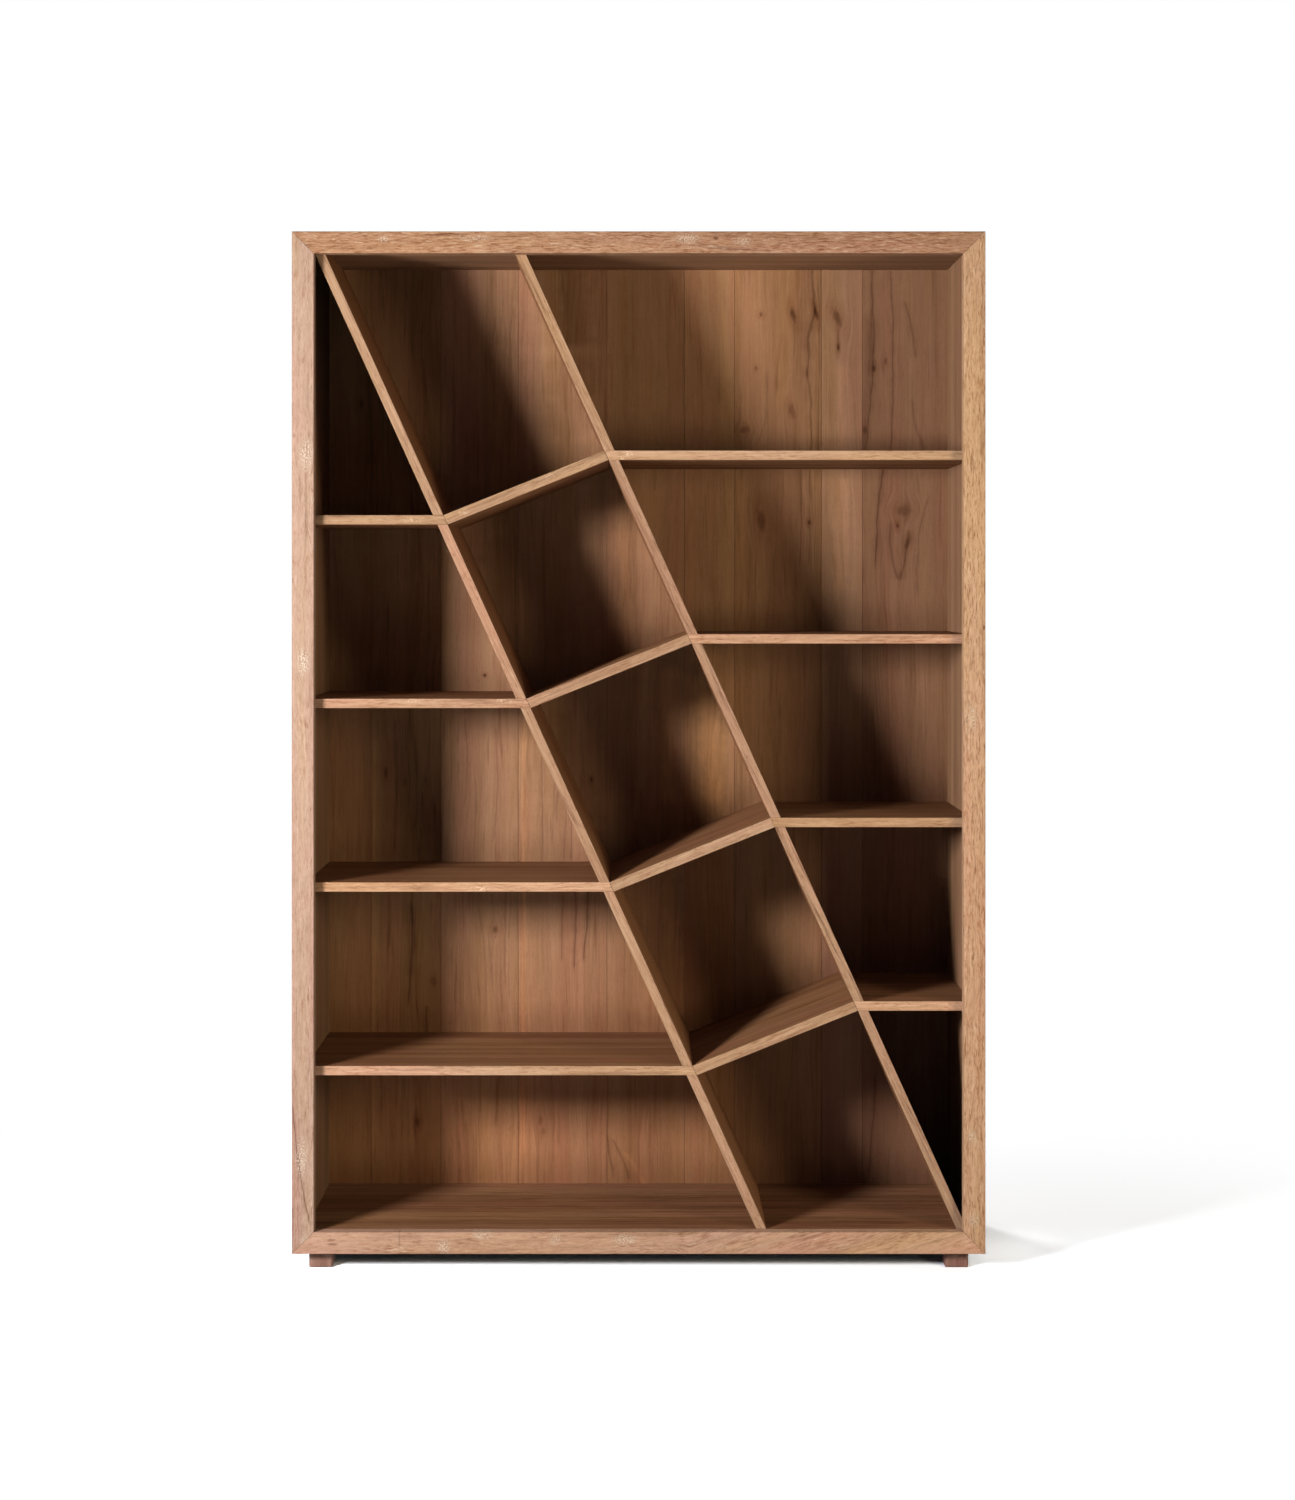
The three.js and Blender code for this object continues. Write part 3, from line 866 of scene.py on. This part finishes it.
case_teak = carcass_teak(
    "carcass teak", (0.40, 0.235, 0.135, 1), (0.23, 0.12, 0.062, 1), 0.8, 0.2
)
foot_board_teak = carcass_teak(
    "bottom teak", (0.47, 0.235, 0.125, 1), (0.23, 0.100, 0.046, 1), 1.1, 0.8
)
for node, along, across, lightness, rosiness, finish in (
    ("side_left", upward, backward, 1.0, 0.0, case_teak),
    ("side_right", upward, backward, 1.3, 0.4, case_teak),
    ("top_board", rightward, backward, 1.5, 1.0, case_teak),
    ("bottom_board", rightward, backward, 1.05, 0.0, foot_board_teak),
):
    dressed_board(
        node, along, across, (lightness, rosiness, 1.0), finish,
        [(back_arris, 0.0008, 0.3)],
    )


# The shelves: four rows of three boards, 19 mm thick. The outer boards lie level and
# the middle one climbs to the right; they meet in mitres with hidden splines, and the
# outer ends are let 7 mm into the sides.
board_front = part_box("shelf_1_left")[0].y


def lattice_arris(first, last):
    """Picks the edges round the front of a shelf or a divider."""
    return max(first.y, last.y) < board_front + hair


# Masks for painted shade: the faces that look to the right in the upper rows, and the tops at
# the left end, in the shadow of the side.
painted_shade_faces_group, inside, outside = new_group(
    "facing",
    [("Place", "Vector", (0, 0, 0)), ("Facing", "Vector", (0, 0, 1))],
    [("Upper Right", "Float"), ("Shadowed Left Top", "Float")],
)
tree = painted_shade_faces_group
spot = axes(tree, inside["Place"])
facing = axes(tree, inside["Facing"])
for name, part, turned in (
    ("Upper Right", ramp(tree, spot["Z"], 0.75, 0.95), facing["X"]),
    ("Shadowed Left Top", ramp(tree, spot["X"], -0.38, -0.54), facing["Z"]),
):
    mask = reckon(tree, "MULTIPLY", part, reckon(tree, "GREATER_THAN", turned, 0.5))
    tree.links.new(mask, outside[name])

shelf_pale = (0.47, 0.235, 0.117, 1)
shelf_deep = (0.295, 0.127, 0.058, 1)
shelf_glue = (1.40, 1.40, 1.35, 1)
# Painted shadow on the tops at the left end.
painted_top_shadow = (0.80, 0.75, 0.73, 1)
rubbed_front = (1.5, 1.8, 2.0, 1)
sanded_front = (1.64, 2.08, 2.64, 1)


def lattice_finish(name, streaks, cover, scuffs=(), painted_right_shade=white):
    """Teak for the shelves and dividers, whose sanded fronts show more of the grain.

    The tint given for the faces that look to the right, in the upper rows, is painted shade.
    Tops are darker at the left end of the case: a painted shadow of the side.
    """
    finish, tree, grain, tone, place = new_teak(name)
    at_front = reckon(tree, "GREATER_THAN", kept(tree, "front")["Fac"], 0.01)
    grain, joint = edge_glued(tree, grain, place)
    wood = figured(
        tree, grain, tone, shelf_pale, shelf_deep,
        {
            "Fibre Depth": ramp(tree, at_front, 0, 1, 0.45, 0.9),
            "Band Depth": ramp(tree, at_front, 0, 1, 1.1, 0.8),
            "Streak Depth": ramp(tree, at_front, 0, 1, 0.55, streaks),
        },
    )
    glue = reckon(tree, "MULTIPLY", joint, 0.5)
    colour = tinted(tree, glue, wood["Colour"], shelf_glue)
    facing = tree.nodes.new("ShaderNodeNewGeometry").outputs["True Normal"]
    faces = placed_group(tree, painted_shade_faces_group, {"Place": place, "Facing": facing})
    colour = tinted(tree, faces["Upper Right"], colour, painted_right_shade)
    colour = tinted(tree, faces["Shadowed Left Top"], colour, painted_top_shadow)
    seed = axes(tree, tone)[0]
    worn = placed_group(
        tree, open_grain_group, {"Grain": grain, "Seed": seed, "Cover": cover}
    )
    for mark, strength, tint in (
        ("Gouged", 0.6, (0.62, 0.48, 0.38, 1)),
        ("Bleached", 0.5, (1.25, 1.32, 1.38, 1)),
    ):
        shown = reckon(tree, "MULTIPLY", worn[mark], at_front)
        colour = tinted(tree, reckon(tree, "MULTIPLY", shown, strength), colour, tint)
    for mark in placed_marks(tree, place, scuff_group, scuffs):
        rubbed = reckon(tree, "MULTIPLY", mark["Mask"], at_front)
        colour = tinted(tree, rubbed, colour, rubbed_front)
    teak_surface(tree, colour, wood, sanded=sanded_front)
    return finish


def lattice_board(node, along, front_lightness, finish):
    """A board of a shelf or divider, its front edges eased."""
    dressed_board(
        node, along, backward, (1.0, 0.0, front_lightness), finish,
        [(lattice_arris, 0.0007, 0.15)],
    )


shelf_finish = lattice_finish(
    "shelf teak", 0.6, 0.6,
    scuffs=(
        (-0.022, 1.652, 0.012, 0.007, 0.9),
        (-0.035, 1.643, 0.008, 0.006, 0.9),
        (-0.321, 0.771, 0.022, 0.009, 0.8),
        (-0.463, 1.152, 0.030, 0.006, 0.7),
        (-0.273, 1.152, 0.022, 0.008, 0.9),
        (-0.457, 1.518, 0.026, 0.006, 0.8),
        (-0.356, 1.535, 0.012, 0.008, 0.7),
        (-0.180, 1.607, 0.014, 0.007, 0.6),
    ),
)
shelf_fronts = {
    "shelf_1_left": 0.75,
    "shelf_1_climb": 0.77,
    "shelf_1_right": 0.94,
    "shelf_2_left": 0.90,
    "shelf_2_climb": 0.81,
    "shelf_2_right": 1.10,
    "shelf_3_left": 1.10,
    "shelf_3_climb": 0.79,
    "shelf_3_right": 0.95,
    "shelf_4_left": 0.92,
    "shelf_4_climb": 0.86,
    "shelf_4_right": 1.18,
}
for node, front_lightness in shelf_fronts.items():
    lowest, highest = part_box(node)
    along = rightward
    if "climb" in node:
        along = (highest.x - lowest.x, 0, highest.z - lowest.z)
    lattice_board(node, along, front_lightness, shelf_finish)


# The dividers: two slanting lines of five boards each, of the same teak. Each length
# has a stub tongue at both ends, in slots in the boards above and below it.
divider_finishes = {
    # Painted shade: the left divider's faces that look to the right are darker in the upper
    # rows.
    "left": lattice_finish(
        "left divider teak", 0.6, 0.5, painted_right_shade=(0.74, 0.71, 0.68, 1)
    ),
    "right": lattice_finish("right divider teak", 0.9, 0.5),
}
divider_fronts = {
    "divider_left_1": 0.80,
    "divider_left_2": 0.87,
    "divider_left_3": 0.82,
    "divider_left_4": 0.88,
    "divider_left_5": 0.89,
    "divider_right_1": 0.84,
    "divider_right_2": 0.76,
    "divider_right_3": 0.78,
    "divider_right_4": 0.82,
    "divider_right_5": 0.78,
}
for node, front_lightness in divider_fronts.items():
    lowest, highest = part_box(node)
    along = (highest.x - lowest.x, 0, lowest.z - highest.z)
    finish = divider_finishes["left" if "left" in node else "right"]
    lattice_board(node, along, front_lightness, finish)


# The back: nine upright planks, 12 mm thick, tongued and grooved together and held in
# a rebate round the carcass. Each came from its own old board, so each has its tone.
plank_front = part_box("back_plank_1")[0].y


def plank_arris(first, last):
    """Picks the long edges on the face of a plank."""
    upright = abs(first.z - last.z) > 1.0
    return upright and max(first.y, last.y) < plank_front + hair


bay_floors = []
for row in (1, 2, 3, 4):
    climb_start, low_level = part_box(f"shelf_{row}_left")[1].xz
    climb_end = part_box(f"shelf_{row}_right")[0].x
    high_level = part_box(f"shelf_{row}_right")[1].z
    bay_floors.append((climb_start, climb_end, low_level, high_level))
lowest_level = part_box("bottom_board")[1].z
bay_floors.append((-1.0, 1.0, lowest_level, lowest_level))

# Painted shade: in each bay the back is darkened in the corner just above the shelf below it.
corner_shade_reach = 0.085
corner_shade_group, inside, outside = new_group(
    "painted corner shade", [("Place", "Vector", (0, 0, 0))], [("Mask", "Float")]
)
tree = corner_shade_group
spot = axes(tree, inside["Place"])
shaded_corners = 0.0
for climb_start, climb_end, low_level, high_level in bay_floors:
    level = ramp(
        tree, spot["X"], climb_start, climb_end, low_level, high_level, "LINEAR"
    )
    above = reckon(tree, "SUBTRACT", spot["Z"], level)
    near = ramp(tree, above, corner_shade_reach, 0.0)
    near = reckon(tree, "MULTIPLY", near, reckon(tree, "GREATER_THAN", above, -0.01))
    shaded_corners = reckon(tree, "MAXIMUM", shaded_corners, near)
tree.links.new(shaded_corners, outside["Mask"])


change_length = 0.5
corner_shade_tint = (0.74, 0.72, 0.70, 1)
painted_light_tint = (1.35, 1.31, 1.22, 1)
painted_shade_tint = (0.55, 0.48, 0.38, 1)
vein_grey = (0.42, 0.36, 0.37, 1)
knot_rim = (0.82, 0.74, 0.71, 1)
knot_core = (0.34, 0.27, 0.25, 1)


def plank_finish(number, foot, pale, deep, streaks, knots, veins, painted_light_parts, painted_shade_parts):
    """The teak of one back plank, whose grain bends round its own knots.

    foot is the height from which the wood changes towards the floor, and the tint it takes
    there. On the face of the plank, painted shade darkens the corner just above each shelf,
    and painted light and painted shade lie in patches where the bays are lit and shaded.
    """
    finish, tree, grain, tone, place = new_teak(f"back teak {number}")
    laid_knots = placed_marks(tree, place, knot_group, knots)
    for knot in laid_knots:
        grain = pushed(tree, grain, across=knot["Shove"])
    wood = figured(
        tree, grain, tone, pale, deep,
        {
            "Band Depth": 0.6,
            "Streak Depth": streaks,
            "Pore Depth": 0.35,
            "Waver": 0.045,
        },
    )
    spot = axes(tree, place)
    changed = ramp(tree, spot["Z"], foot[0], foot[0] - change_length)
    colour = tinted(tree, changed, wood["Colour"], foot[1])
    # Painted shade in the corners above the shelves, then painted light and painted shade in
    # patches, on the face only.
    corner = placed_group(tree, corner_shade_group, {"Place": place})
    face = tinted(tree, corner["Mask"], colour, corner_shade_tint)
    face = laid_marks(tree, face, place, vein_group, "Mask", painted_light_parts, painted_light_tint)
    face = laid_marks(tree, face, place, vein_group, "Mask", painted_shade_parts, painted_shade_tint)
    on_face = reckon(tree, "LESS_THAN", spot["Y"], plank_front + face_depth)
    colour = blended(tree, on_face, colour, face)
    colour = laid_marks(tree, colour, place, vein_group, "Mask", veins, vein_grey)
    for knot in laid_knots:
        colour = tinted(tree, knot["Around"], colour, knot_rim)
        colour = tinted(tree, knot["Inside"], colour, knot_core)
    teak_surface(tree, colour, wood)
    return finish


# Below its foot height a plank turns redder, darker or paler.
reddened = (1.0, 0.88, 0.80, 1)
darker_below = (0.80, 0.76, 0.80, 1)
paler_below = (1.20, 1.13, 1.10, 1)
plank_woods = (
    ((0.75, reddened), (0.59, 0.318, 0.155, 1), (0.365, 0.175, 0.077, 1), 0.3),
    ((0.75, reddened), (0.57, 0.310, 0.155, 1), (0.34, 0.163, 0.073, 1), 0.7),
    ((0.75, reddened), (0.61, 0.330, 0.187, 1), (0.39, 0.190, 0.095, 1), 0.5),
    ((0.75, reddened), (0.62, 0.335, 0.188, 1), (0.40, 0.192, 0.097, 1), 0.4),
    ((0.75, reddened), (0.56, 0.298, 0.161, 1), (0.36, 0.170, 0.083, 1), 0.3),
    ((1.15, reddened), (0.57, 0.310, 0.160, 1), (0.37, 0.180, 0.085, 1), 0.3),
    ((0.50, paler_below), (0.55, 0.285, 0.148, 1), (0.33, 0.153, 0.072, 1), 0.4),
    ((1.15, darker_below), (0.60, 0.325, 0.187, 1), (0.42, 0.210, 0.110, 1), 0.2),
    ((1.15, darker_below), (0.475, 0.244, 0.135, 1), (0.31, 0.146, 0.074, 1), 0.4),
)
plank_knots = {
    1: ((-0.605, 1.781, 0.007, 0.010, 0.5),),
    2: (
        (-0.552, 0.978, 0.006, 0.016, 0.6),
        (-0.511, 0.956, 0.005, 0.012, 0.35),
        (-0.465, 0.961, 0.005, 0.012, 0.35),
        (-0.448, 0.520, 0.008, 0.016, 0.45),
        (-0.482, 0.214, 0.006, 0.012, 0.6),
    ),
    3: (
        (-0.314, 0.635, 0.008, 0.010, 0.6),
        (-0.336, 1.190, 0.004, 0.004, 1.0),
    ),
    4: (
        (-0.103, 0.962, 0.004, 0.007, 0.8),
        (-0.214, 0.219, 0.007, 0.014, 0.4),
        (-0.208, 0.195, 0.006, 0.010, 0.3),
        (-0.122, 0.745, 0.004, 0.012, 0.9, 0.3),
    ),
    7: (
        (0.338, 1.978, 0.007, 0.020, 0.8, -0.25),
        (0.388, 1.982, 0.006, 0.022, 0.9, -0.2),
        (0.268, 1.978, 0.005, 0.006, 0.6),
        (0.257, 1.861, 0.004, 0.006, 0.7),
        (0.231, 1.726, 0.013, 0.009, 0.5),
        (0.336, 1.766, 0.009, 0.020, 0.5, -0.2),
        (0.373, 1.523, 0.005, 0.007, 0.8),
        (0.268, 1.530, 0.012, 0.032, 0.6, -0.15),
    ),
    8: (
        (0.434, 1.972, 0.012, 0.024, 0.7, -0.3),
        (0.437, 1.906, 0.004, 0.012, 0.9),
        (0.436, 1.935, 0.003, 0.020, 0.5),
    ),
    9: (
        (0.495, 1.728, 0.007, 0.012, 0.6),
        (0.514, 1.860, 0.005, 0.009, 0.7),
        (0.578, 1.550, 0.020, 0.014, 0.45),
        (0.566, 1.517, 0.004, 0.008, 0.9),
        (0.588, 1.480, 0.008, 0.018, 0.6, 0.3),
        (0.539, 1.875, 0.006, 0.012, 0.5),
    ),
}
plank_veins = {
    1: ((-0.594, 1.960, -0.588, 1.640, 0.004, 0.0030, 0.4),),
    2: (
        (-0.535, 1.110, -0.535, 0.790, 0.005, 0.0020, 0.6),
        (-0.476, 0.860, -0.476, 0.780, 0.000, 0.0020, 0.6),
        (-0.494, 0.720, -0.505, 0.460, 0.004, 0.0026, 0.8),
        (-0.463, 0.470, -0.463, 0.400, 0.000, 0.0034, 0.8),
        (-0.498, 0.700, -0.500, 0.520, 0.008, 0.0060, 0.4),
    ),
    3: (
        (-0.380, 1.100, -0.380, 0.900, 0.006, 0.0022, 0.35),
        (-0.312, 1.090, -0.316, 0.820, 0.006, 0.0034, 0.35),
        (-0.352, 0.700, -0.334, 0.440, 0.008, 0.0020, 0.35),
    ),
    4: (
        (-0.214, 1.040, -0.214, 0.770, 0.004, 0.0018, 0.45),
        (-0.186, 0.990, -0.188, 0.820, 0.004, 0.0016, 0.4),
        (-0.162, 0.930, -0.164, 0.780, 0.003, 0.0018, 0.5),
        (-0.146, 0.930, -0.147, 0.780, 0.000, 0.0018, 0.5),
        (-0.138, 0.740, -0.142, 0.540, 0.003, 0.0036, 0.7),
        (-0.110, 0.740, -0.120, 0.560, 0.003, 0.0032, 0.8),
        (-0.166, 0.720, -0.168, 0.560, 0.000, 0.0020, 0.5),
    ),
    5: (
        (-0.067, 0.330, -0.055, 0.090, -0.008, 0.0022, 0.7),
        (-0.058, 0.180, -0.020, 0.085, 0.006, 0.0020, 0.6),
    ),
    7: (
        (0.389, 2.140, 0.388, 1.970, -0.007, 0.0044, 0.6, 0.030),
        (0.387, 1.990, 0.369, 1.835, -0.004, 0.0050, 0.7, 0.040),
        (0.369, 1.865, 0.373, 1.640, 0.007, 0.0042, 0.6, 0.030),
        (0.400, 2.140, 0.393, 1.640, -0.002, 0.0020, 0.45, 0.006),
        (0.353, 1.700, 0.352, 1.420, 0.004, 0.0020, 0.5),
        (0.374, 1.700, 0.373, 1.420, 0.000, 0.0020, 0.5),
        (0.282, 1.860, 0.262, 1.690, 0.006, 0.0018, 0.3, 0.030),
    ),
    9: (
        (0.510, 2.130, 0.492, 1.640, 0.010, 0.0026, 0.7, 0.020),
        (0.502, 1.990, 0.484, 1.640, 0.006, 0.0110, 0.35, 0.020),
        (0.550, 2.090, 0.549, 1.640, 0.007, 0.0022, 0.7, 0.020),
        (0.580, 2.010, 0.606, 1.880, 0.003, 0.0036, 0.5, 0.020),
        (0.596, 1.800, 0.640, 1.640, -0.008, 0.0022, 0.5, 0.020),
        (0.539, 1.680, 0.517, 1.420, -0.005, 0.0030, 0.8, 0.020),
        (0.549, 1.530, 0.568, 1.395, -0.007, 0.0036, 0.6, 0.012),
        (0.590, 1.510, 0.568, 1.395, 0.005, 0.0038, 0.6, 0.012),
        (0.640, 1.590, 0.612, 1.360, -0.014, 0.0022, 0.5, 0.020),
        (0.519, 0.330, 0.502, 0.090, 0.000, 0.0026, 0.7),
    ),
}
# Painted light: pale patches and strips on the planks' faces where more light falls in the
# bays.
plank_painted_light_parts = {
    2: ((-0.577, 1.100, -0.579, 0.090, 0.000, 0.0060, 0.6, 0.006),),
    4: ((-0.249, 1.120, -0.253, 0.090, 0.000, 0.0090, 0.9, 0.008),),
    5: (
        (-0.040, 1.640, -0.020, 1.180, 0.000, 0.0260, 0.8),
        (0.070, 1.220, 0.062, 0.900, 0.000, 0.0260, 0.9),
        (0.060, 0.800, 0.085, 0.420, 0.000, 0.0300, 0.9),
        (-0.030, 0.150, 0.020, 0.070, 0.000, 0.0080, 0.6),
    ),
    6: (
        (0.145, 1.260, 0.170, 0.880, 0.000, 0.0400, 0.9),
        (0.135, 1.200, 0.150, 0.900, 0.000, 0.0500, 0.5),
    ),
    8: (
        (0.440, 1.880, 0.446, 1.640, 0.000, 0.0160, 0.5),
        (0.446, 1.640, 0.440, 1.360, 0.000, 0.0240, 0.6),
    ),
}
# Painted shade: darker patches on the planks' faces in the middle bays.
plank_painted_shade_parts = {
    3: ((-0.310, 1.500, -0.290, 1.260, 0.000, 0.0450, 0.4, 0.010),),
    4: (
        (-0.140, 2.150, -0.135, 1.900, 0.000, 0.0450, 0.6, 0.010),
        (-0.150, 1.900, -0.150, 1.600, 0.000, 0.0700, 0.4, 0.010),
        (-0.165, 1.120, -0.095, 0.860, 0.000, 0.0400, 0.4, 0.010),
    ),
}
for number, (foot, pale, deep, streaks) in enumerate(plank_woods, 1):
    marks = [
        marked.get(number, ())
        for marked in (plank_knots, plank_veins, plank_painted_light_parts, plank_painted_shade_parts)
    ]
    finish = plank_finish(number, foot, pale, deep, streaks, *marks)
    dressed_board(
        f"back_plank_{number}", upward, rightward, (1.0, 0.0, 1.0), finish,
        [(plank_arris, 0.0003, 0.6)],
    )


# The feet: four blocks of darker teak with rounded corners, each screwed up into the
# bottom board, set a little in from the edges. Their lower arrises are rubbed round.
def foot_arris(first, last):
    """Picks the edges round the sole of a foot."""
    return max(first.z, last.z) < hair


foot_finish, tree, grain, tone, place = new_teak("foot teak")
wood = figured(
    tree, grain, tone, (0.47, 0.28, 0.22, 1), (0.24, 0.12, 0.09, 1),
    {"Band Depth": 1.0, "Streak Depth": 0.5},
)
foot_scuffs = (
    (-0.634, 0.034, 0.014, 0.016, 0.6),
    (-0.620, 0.040, 0.006, 0.014, 0.6),
    (0.648, 0.034, 0.016, 0.018, 0.5),
)
colour = scuffed(tree, wood["Colour"], place, foot_scuffs)
teak_surface(tree, colour, wood)
for end in ("front", "back"):
    for side in ("left", "right"):
        dressed_board(
            f"foot_{end}_{side}", upward, rightward, (1.0, 0.2, 1.0), foot_finish,
            [(foot_arris, 0.003, 0.2)],
        )


# The splines and screws: a loose tongue of teak in each mitre of the shelves and of the
# carcass, glued in its grooves, and one plated steel screw up through each foot.
spline_finish = bpy.data.materials.new("spline teak")
tree = bare_tree(spline_finish)
place = tree.nodes.new("ShaderNodeTexCoord").outputs["Object"]
spot = axes(tree, place)
lengthwise = vector_of(tree, spot["Y"], spot["X"], spot["Z"])
spline_tone = (0.4, 1.0, 0.0)
wood = figured(
    tree, lengthwise, spline_tone, (0.50, 0.29, 0.16, 1), (0.32, 0.165, 0.08, 1), {}
)
teak_surface(tree, wood["Colour"], wood)

screw_finish = bpy.data.materials.new("screw steel")
tree = bare_tree(screw_finish)
place = tree.nodes.new("ShaderNodeTexCoord").outputs["Object"]
plating = noise(tree, place, 900.0, 900.0, 3.0)[0]
steel = blended(
    tree, ramp(tree, plating, 0.35, 0.65), (0.60, 0.58, 0.54, 1), (0.42, 0.40, 0.38, 1)
)
bump = shader_node(
    tree, "ShaderNodeBump", {"Height": plating, "Strength": 0.2, "Distance": 0.0002}
)
surface = shader_node(
    tree,
    "ShaderNodeBsdfPrincipled",
    {
        "Base Color": steel,
        "Metallic": 1.0,
        "Roughness": ramp(tree, plating, 0.3, 0.7, 0.28, 0.45),
        "Normal": bump.outputs[0],
    },
)
shader_node(tree, "ShaderNodeOutputMaterial", {"Surface": surface.outputs[0]})
for node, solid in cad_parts.items():
    if "spline" in node:
        solid.material_slots[0].material = spline_finish
    if "screw" in node:
        solid.material_slots[0].material = screw_finish
